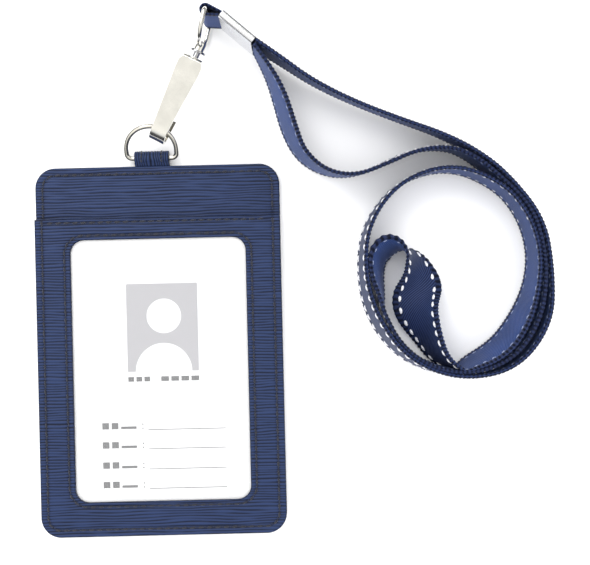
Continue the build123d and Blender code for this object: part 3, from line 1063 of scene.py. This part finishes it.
up = Vector((0.0, 0.0, 1.0))
holder_pitch = 2.5 * mm
fine_stitch = one_stitch(1.95 * mm, 0.52 * mm, 0.40 * mm)
edge_path = rounded_path(
    half_holder - seam_inset, holder_low.y + seam_inset, holder_high.y - seam_inset,
    corner - seam_inset, holder_pitch,
)
window_path = rounded_path(*window_seam_outline, holder_pitch)
hem_end = half_holder - seam_inset - 1.2 * mm
hem_line = [Vector((-hem_end, hem_y)), Vector((hem_end, hem_y))]


def laid(places, z, out=up):
    """Stitch places on a level face, each turned a little off the seam's line as real stitches are."""
    result = []
    for number, (point, way) in enumerate(places):
        slant = Matrix.Rotation(math.radians(5 + 2 * math.sin(number * 2.3)), 2)
        turned = (slant @ way).to_3d()
        result.append((Vector((point.x, point.y, z)), turned, out))
    return result


# %% Needle holes, painted as dark marks of shade
# Each needle hole is a small dark piece in edge paint between two stitches: painted shade where the hole
# is.
hole_shade = one_stitch(0.62 * mm, 0.46 * mm, 0.16 * mm)
hole_shade_spots = []
for path, level, low_y, high_y in (
    (edge_path, front_high.z, -1.0, mouth_y - 1.5 * mm),
    (edge_path, facing_high.z, mouth_y + 1.5 * mm, 1.0),
    (window_path, front_high.z, -1.0, 1.0),
):
    for (here, way), (after, next_way) in zip(path, path[1:] + path[:1]):
        middle = (here + after) / 2
        if low_y < middle.y < high_y:
            place = Vector((middle.x, middle.y, level - seam_dip))
            hole_shade_spots.append((place, way.to_3d(), up))
needle_holes = stitch_rows("needle_holes", hole_shade, hole_shade_spots, edge_paint)
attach(needle_holes, "holder")

# %% Sew the seams
front_level = front_high.z - 0.06 * mm      # the thread sinks a little into the leather
facing_level = facing_high.z - 0.06 * mm
below_mouth = [spot for spot in edge_path if spot[0].y < mouth_y - 0.9 * mm]
above_mouth = [spot for spot in edge_path if spot[0].y > mouth_y + 0.9 * mm]
edge_places = laid(below_mouth, front_level) + laid(above_mouth, facing_level)
edge_places += laid(edge_path, holder_low.z + 0.20 * mm, -up)
hem_places = laid(spaced_places(hem_line, holder_pitch), front_level)
edge_seam = stitch_rows("edge_seam", fine_stitch, edge_places, navy_thread)
window_seam = stitch_rows("window_seam", fine_stitch, laid(window_path, front_level), navy_thread)
hem_seam = stitch_rows("hem_seam", fine_stitch, hem_places, navy_thread)
for seam, node in (
    (edge_seam, "perimeter_thread"), (window_seam, "window_thread"), (hem_seam, "mouth_thread"),
):
    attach(seam, "holder")
    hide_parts(node)

# %% [markdown]
# ## Hanging tab
# A narrow tongue of the same leather comes out between the layers, is folded round the D ring and
# sewn down. Its ridges run along it, so here they follow its width. The folded strip is made from
# rings of points: one outline in side view, repeated across the width, with the ring's bore in it.

# %% Tab
tab_low_corner, tab_high_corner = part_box("tab_strap")
tab_middle = (tab_low_corner.x + tab_high_corner.x) / 2
half_tab = (tab_high_corner.x - tab_low_corner.x) / 2
loop_radius = 2.1 * mm
bore_radius = 0.84 * mm
loop_y = tab_high_corner.y - loop_radius
loop_z = tab_low_corner.z + loop_radius
tab_seam_x = 3.0 * mm       # the two seams run this far from the tab's middle


def tab_outline():
    """Side view of the folded tab: (y, z, out_y, out_z, free), free where ridges show."""
    points = []
    for y in (tab_low_corner.y, holder_high.y - 0.5 * mm, holder_high.y):
        points.append((y, board_low.z, 0.0, -1.0, 0.0))
    for step in range(27):
        angle = math.radians(-112 + 9.0 * step)
        away = (math.cos(angle), math.sin(angle))
        points.append((loop_y + loop_radius * away[0], loop_z + loop_radius * away[1], *away, 1.0))
    for y in (holder_high.y, holder_high.y - 0.5 * mm, tab_low_corner.y):
        points.append((y, board_high.z, 0.0, 1.0, 0.0))
    return points


def build_tab():
    """The folded tab as one skin with a bore for the ring."""
    skin = bmesh.new()
    ridge_layer = skin.verts.layers.float.new("ridge")
    outline = tab_outline()
    bore = []
    for k in range(20):
        angle = math.radians(360 * k / 20)
        bore.append((loop_y + bore_radius * math.cos(angle), loop_z + bore_radius * math.sin(angle)))
    outer_rings = []
    bore_rings = []
    for x in rolled_steps(-half_tab, half_tab, 0.17 * mm):
        edge_gap = min(x + half_tab, half_tab - x)
        ring = []
        for y, z, out_y, out_z, free in outline:
            wander = 0.9 * noise.noise(Vector((x / (2.5 * mm), y / (6 * mm), z / (3 * mm))))
            height = 0.5 + 0.5 * math.cos(2 * math.pi * (x / (0.82 * mm) + wander))
            roll = max(0.0, 1.0 - edge_gap / (0.35 * mm))
            drop = free * (0.14 * mm * (1.0 - height) + 0.2 * mm * roll * roll)
            seam_gap = abs(abs(x) - tab_seam_x) / (0.42 * mm)
            drop += free * 0.14 * mm * math.exp(-seam_gap * seam_gap)
            vertex = skin.verts.new((tab_middle + x, y - out_y * drop, z - out_z * drop))
            vertex[ridge_layer] = height * (1.0 - 0.7 * roll)
            ring.append(vertex)
        outer_rings.append(ring)
        bore_rings.append([skin.verts.new((tab_middle + x, y, z)) for y, z in bore])
    for rings in (outer_rings, bore_rings):
        for a, b in zip(rings, rings[1:]):
            for j in range(len(a)):
                k = (j + 1) % len(a)
                skin.faces.new((a[j], b[j], b[k], a[k]))
    for end in (0, -1):
        edges = []
        for ring in (outer_rings[end], bore_rings[end]):
            for j in range(len(ring)):
                edges.append(skin.edges.get((ring[j], ring[(j + 1) % len(ring)])))
        bmesh.ops.triangle_fill(skin, use_beauty=True, edges=edges)
    bmesh.ops.recalc_face_normals(skin, faces=skin.faces)
    tab = finished_piece("tab_leather", skin, leather, edge_paint)
    for face in tab.data.polygons:
        face.use_smooth = abs(face.normal.x) < 0.8
        face.material_index = 0 if face.use_smooth else 1
    return tab


tab_leather = build_tab()
tab_places = []
for side in (-1, 1):
    for degrees in (18, 52, 86, 120):
        angle = math.radians(degrees)
        out = Vector((0.0, math.cos(angle), math.sin(angle)))
        way = Vector((0.0, -math.sin(angle), math.cos(angle)))
        middle = Vector((tab_middle + side * tab_seam_x, loop_y, loop_z))
        tab_places.append((middle + out * (loop_radius - 0.02 * mm), way, out))
tab_stitch = one_stitch(1.0 * mm, 0.46 * mm, 0.36 * mm)
tab_seam = stitch_rows("tab_seam", tab_stitch, tab_places, navy_thread)
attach(tab_leather, "holder")
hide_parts("tab_strap")
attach(tab_seam, "holder")
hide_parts("tab_thread")
print("tab", len(tab_leather.data.polygons), "faces")

# %% [markdown]
# ## Card, its print, the film and the board
# The insert card is a smooth white plastic sheet. Its print is modelled as very thin ink shapes that
# lie on it: a grey field with a plain head-and-shoulders sign, short bars where captions would be,
# and four writing lines. Thin geometry keeps the print sharp and lets it slide with the card.


# %% Ink shapes
def paint_ink(name, colour):
    """Printed ink with a faint screen grain."""
    material, tree, shader = new_material(name)
    grain = add_node(tree, "ShaderNodeTexNoise", Scale=4200.0, Detail=2.0)
    on_object(tree, grain)
    darker = tuple(0.94 * c for c in colour)
    lighter = tuple(1.05 * c for c in colour)
    colour_by(tree, shader, grain.outputs["Fac"], [(0.3, darker), (0.7, lighter)])
    shader.inputs["Roughness"].default_value = 0.42
    return material


ink_thick = 0.015 * mm
field_ink = paint_ink("field_grey", (0.27, 0.265, 0.28))
white_ink = paint_ink("sign_white", (0.58, 0.58, 0.585))
dark_ink = paint_ink("line_grey", (0.03, 0.03, 0.033))


def ink_outline(name, outline, layer, material):
    """A thin ink shape from an outline in millimetres, on a layer above the card."""
    shape = bmesh.new()
    low = card_high.z + layer * ink_thick
    points = [shape.verts.new((x * mm, y * mm, low)) for x, y in outline]
    face = shape.faces.new(points)
    body = bmesh.ops.extrude_face_region(shape, geom=[face])
    for part in body["geom"]:
        if isinstance(part, bmesh.types.BMVert):
            part.co.z += ink_thick
    bmesh.ops.recalc_face_normals(shape, faces=shape.faces)
    return finished_piece(name, shape, material)


def box_outline(x0, y0, x1, y1):
    """Four corners of a bar."""
    return [(x0, y0), (x1, y0), (x1, y1), (x0, y1)]


def arc_outline(x, y, radius, first, last, steps):
    """Points along an arc."""
    span = [math.radians(first + (last - first) * k / steps) for k in range(steps + 1)]
    return [(x + radius * math.cos(a), y + radius * math.sin(a)) for a in span]


prints = [
    ink_outline("print_field", box_outline(-9.9, -6.3, 11.3, 19.9), 0, field_ink),
    ink_outline("print_head", arc_outline(1.2, 10.2, 5.15, 0, 352, 44), 1, white_ink),
    ink_outline("print_shoulders", arc_outline(0.9, -6.25, 8.4, 0, 180, 40), 1, white_ink),
]
for number, x in enumerate((-9.8, -7.4, -5.0, 0.0, 3.0, 6.0, 9.0)):
    caption = box_outline(x, -9.2, x + (1.7 if x < -1 else 2.3), -7.8)
    prints.append(ink_outline(f"print_caption_{number}", caption, 0, dark_ink))
label_bars = ((-17.9, -15.9, 1.9), (-15.1, -13.1, 1.9), (-12.3, -7.7, 0.75))    # x, x and height
for number, y in enumerate((-23.6, -29.3, -35.3, -41.1)):
    line = box_outline(-4.2, y - 0.1, 18.9, y + 0.1)
    prints.append(ink_outline(f"print_line_{number}", line, 0, dark_ink))
    for part, (x0, x1, tall) in enumerate(label_bars):
        low_y = y + 0.35
        label = box_outline(x0, low_y, x1, low_y + tall)
        prints.append(ink_outline(f"print_label_{number}_{part}", label, 0, dark_ink))
    for part, lift in enumerate((0.35, 1.55)):
        dot = arc_outline(-5.8, y + lift + 0.15, 0.22, 0, 315, 7)
        prints.append(ink_outline(f"print_dot_{number}_{part}", dot, 0, dark_ink))
deselect()
for piece in prints:
    piece.select_set(True)
bpy.context.view_layer.objects.active = prints[0]
bpy.ops.object.join()
card_print = bpy.context.object
card_print.name = "card_print"
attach(card_print, "card")
print("card print", len(card_print.data.polygons), "faces")


# %% Card, film and board materials
def set_material(node, material):
    """Gives a CAD node its finish."""
    target = bpy.data.objects[node]
    target.data.materials.clear()
    target.data.materials.append(material)


def paint_card():
    """Smooth white plastic with faint scuffs."""
    material, tree, shader = new_material("card_white")
    scuff = add_node(tree, "ShaderNodeTexNoise", Scale=180.0, Detail=6.0, Roughness=0.7)
    on_object(tree, scuff)
    stops = [(0.35, (0.58, 0.58, 0.583)), (0.65, (0.62, 0.62, 0.623))]
    colour_by(tree, shader, scuff.outputs["Fac"], stops)
    rough = stretched(tree, scuff.outputs["Fac"], 0.0, 1.0, 0.28, 0.45)
    tree.links.new(rough, shader.inputs["Roughness"])
    return material


def paint_film():
    """Thin clear film: almost all light passes, with a soft sheen and slight waves."""
    material, tree, shader = new_material("clear_film")
    waves = add_node(tree, "ShaderNodeTexNoise", Scale=45.0, Detail=3.0)
    on_object(tree, waves)
    raised_by(tree, shader, waves.outputs["Fac"], 0.25, 0.3 * mm)
    shader.inputs["Base Color"].default_value = (0.95, 0.96, 0.97, 1.0)
    shader.inputs["Roughness"].default_value = 0.06
    shader.inputs["Alpha"].default_value = 0.08
    return material


def paint_board():
    """Grey pasteboard with short fibres."""
    material, tree, shader = new_material("pasteboard")
    stretch = add_node(tree, "ShaderNodeMapping")
    stretch.inputs["Scale"].default_value = (1.0, 4.0, 1.0)
    fibre = add_node(tree, "ShaderNodeTexNoise", Scale=600.0, Detail=6.0, Roughness=0.7)
    on_object(tree, stretch)
    tree.links.new(stretch.outputs["Vector"], fibre.inputs["Vector"])
    stops = [(0.3, (0.16, 0.13, 0.10)), (0.7, (0.34, 0.29, 0.23))]
    colour_by(tree, shader, fibre.outputs["Fac"], stops)
    shader.inputs["Roughness"].default_value = 0.9
    return material


set_material("id_card", paint_card())
set_material("window_film", paint_film())
set_material("stiffener_board", paint_board())

# %% [markdown]
# ## Polished metal
# The hook, eye, ring and sleeve are nickel-plated and polished. Their CAD shapes are right, so they
# only need a finish: a bright mirror metal, with a roughness that wanders a little and hair-fine
# scratches in one direction, which is what tells a real plated part from a perfect one.


# %% Metal material
def paint_metal(name, colour, rough_low, rough_high, scratch):
    """Plated metal: mirror gloss, handling smears and fine scratches."""
    material, tree, shader = new_material(name)
    link = tree.links.new
    smear = add_node(tree, "ShaderNodeTexNoise", Scale=240.0, Detail=5.0, Roughness=0.6)
    stretch = add_node(tree, "ShaderNodeMapping")
    stretch.inputs["Rotation"].default_value = (0.3, 0.2, 0.9)
    stretch.inputs["Scale"].default_value = (1.0, 18.0, 18.0)
    lines = add_node(tree, "ShaderNodeTexNoise", Scale=420.0, Detail=4.0)
    on_object(tree, smear, stretch)
    link(stretch.outputs["Vector"], lines.inputs["Vector"])
    dulled = tuple(0.9 * c for c in colour)
    colour_by(tree, shader, smear.outputs["Fac"], [(0.3, dulled), (0.7, colour)])
    rough = stretched(tree, smear.outputs["Fac"], 0.3, 0.7, rough_low, rough_high)
    link(rough, shader.inputs["Roughness"])
    raised_by(tree, shader, lines.outputs["Fac"], scratch, 0.01 * mm)
    shader.inputs["Metallic"].default_value = 1.0
    return material


bright_nickel = paint_metal("bright_nickel", (0.82, 0.81, 0.77), 0.05, 0.16, 0.12)
ring_nickel = paint_metal("ring_nickel", (0.82, 0.80, 0.74), 0.06, 0.14, 0.08)
sleeve_nickel = paint_metal("sleeve_nickel", (0.72, 0.73, 0.76), 0.16, 0.30, 0.30)
rivet_nickel = paint_metal("rivet_nickel", (0.50, 0.50, 0.52), 0.12, 0.24, 0.20)
for node in ("hook_body", "gate_leaf", "swivel_eye"):
    set_material(node, bright_nickel)
set_material("d_ring", ring_nickel)
set_material("strap_crimp", sleeve_nickel)
for node in ("gate_rivet", "swivel_rivet"):
    set_material(node, rivet_nickel)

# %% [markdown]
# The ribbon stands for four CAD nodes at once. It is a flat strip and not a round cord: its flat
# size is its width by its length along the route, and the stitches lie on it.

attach(ribbon, "strap")
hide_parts("strap_leg_a", "strap_leg_b", "strap_coil", "strap_inner_loop")
